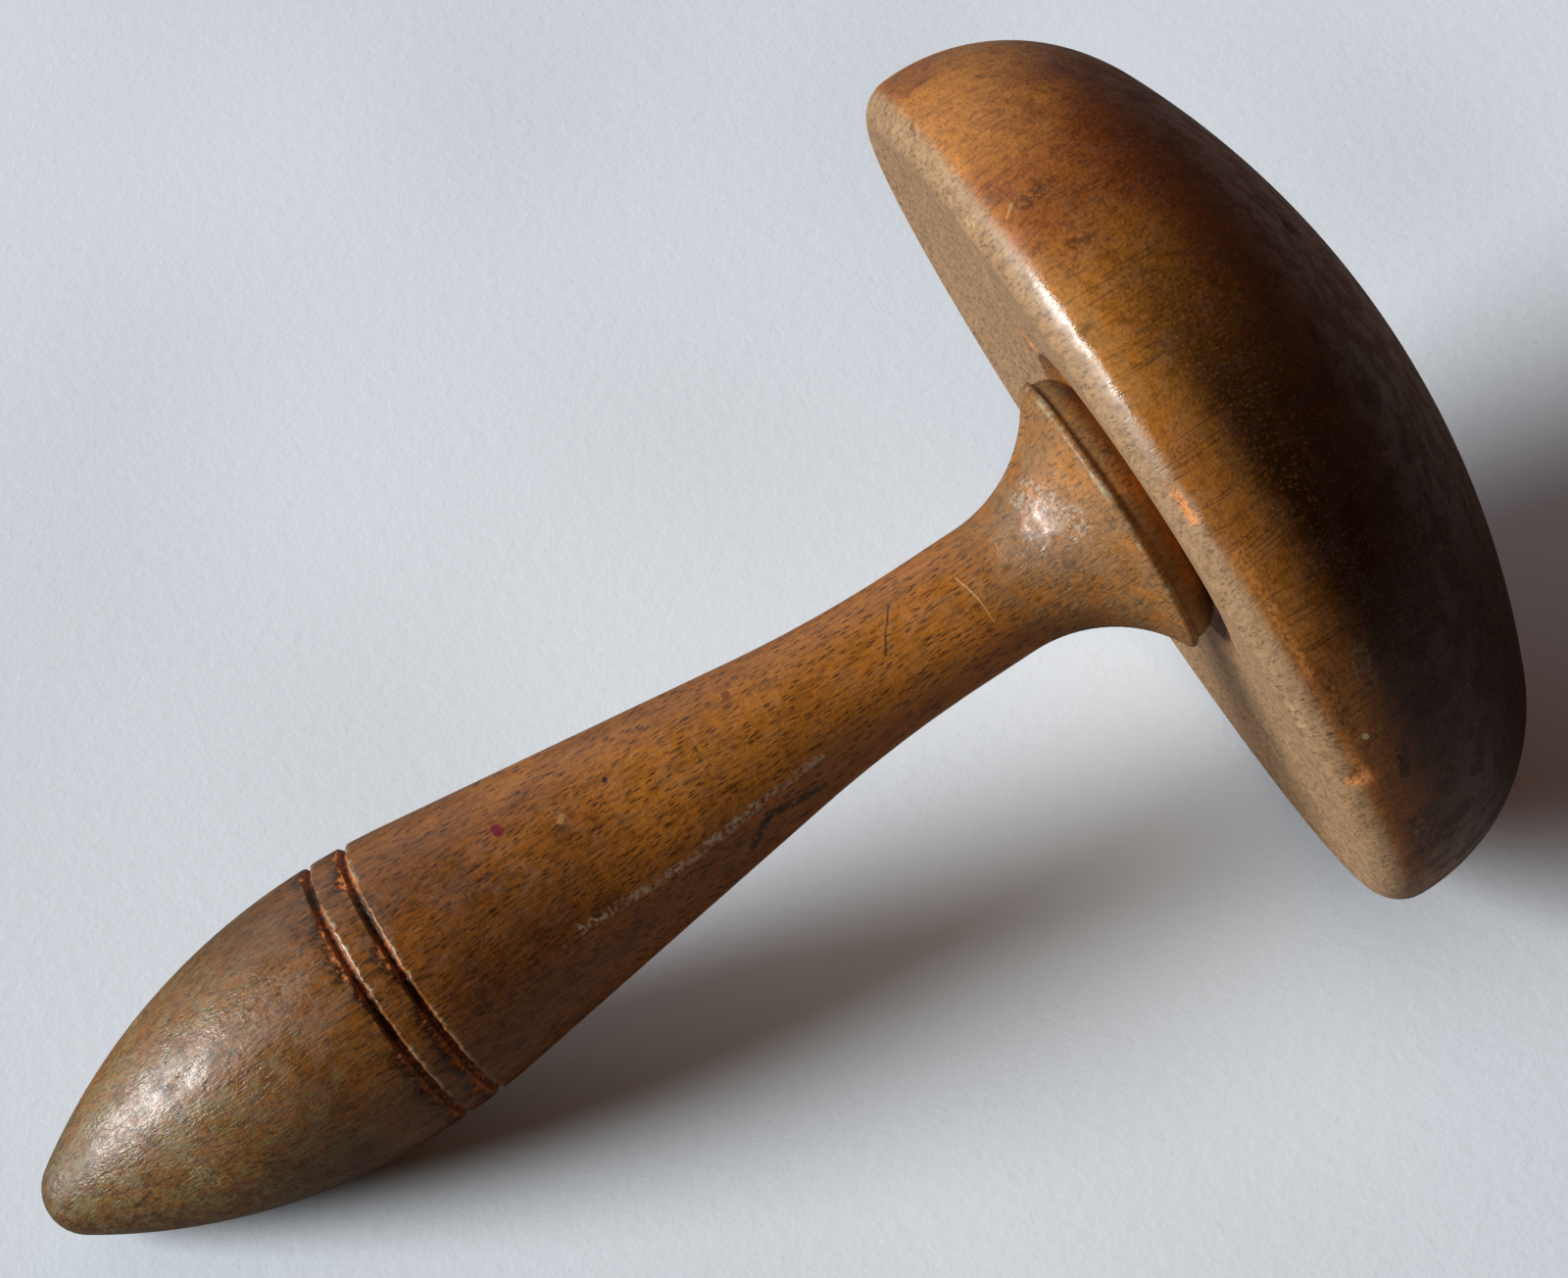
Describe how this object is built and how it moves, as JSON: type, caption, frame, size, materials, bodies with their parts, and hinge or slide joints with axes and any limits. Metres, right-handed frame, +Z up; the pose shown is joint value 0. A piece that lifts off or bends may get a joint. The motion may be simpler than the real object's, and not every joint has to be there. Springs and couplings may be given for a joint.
{
  "type": "darning mushroom",
  "caption": "Turned wooden darning mushroom with a domed cap that screws onto a shaped handle with a flared collar and ring grooves.",
  "frame": {"origin": "centre of the bounding box in X and Y, on the table that the mushroom lies on", "axes": "+Z up from the table, +X along the length of the lying mushroom from the tip to the cap; the turning axis lies in the XZ plane and rises 17.92 degrees towards the cap; the part is symmetric about the plane Y = 0"},
  "size_m": [0.1215, 0.075, 0.0725],
  "materials": {
    "cap_wood": "stained and varnished beech, darkened on the dome, semi-gloss with wear",
    "handle_wood": "stained and varnished beech, honey brown, semi-gloss with worn patches"
  },
  "bodies": {
    "handle": {"handle": "handle_wood"},
    "cap": {"cap": "cap_wood"}
  },
  "joints": [
    {"name": "cap_unscrew", "type": "slide", "parent": "handle", "child": "cap", "axis": [0.9515, 0, 0.3077], "range_m": [0, 0.024]}
  ]
}
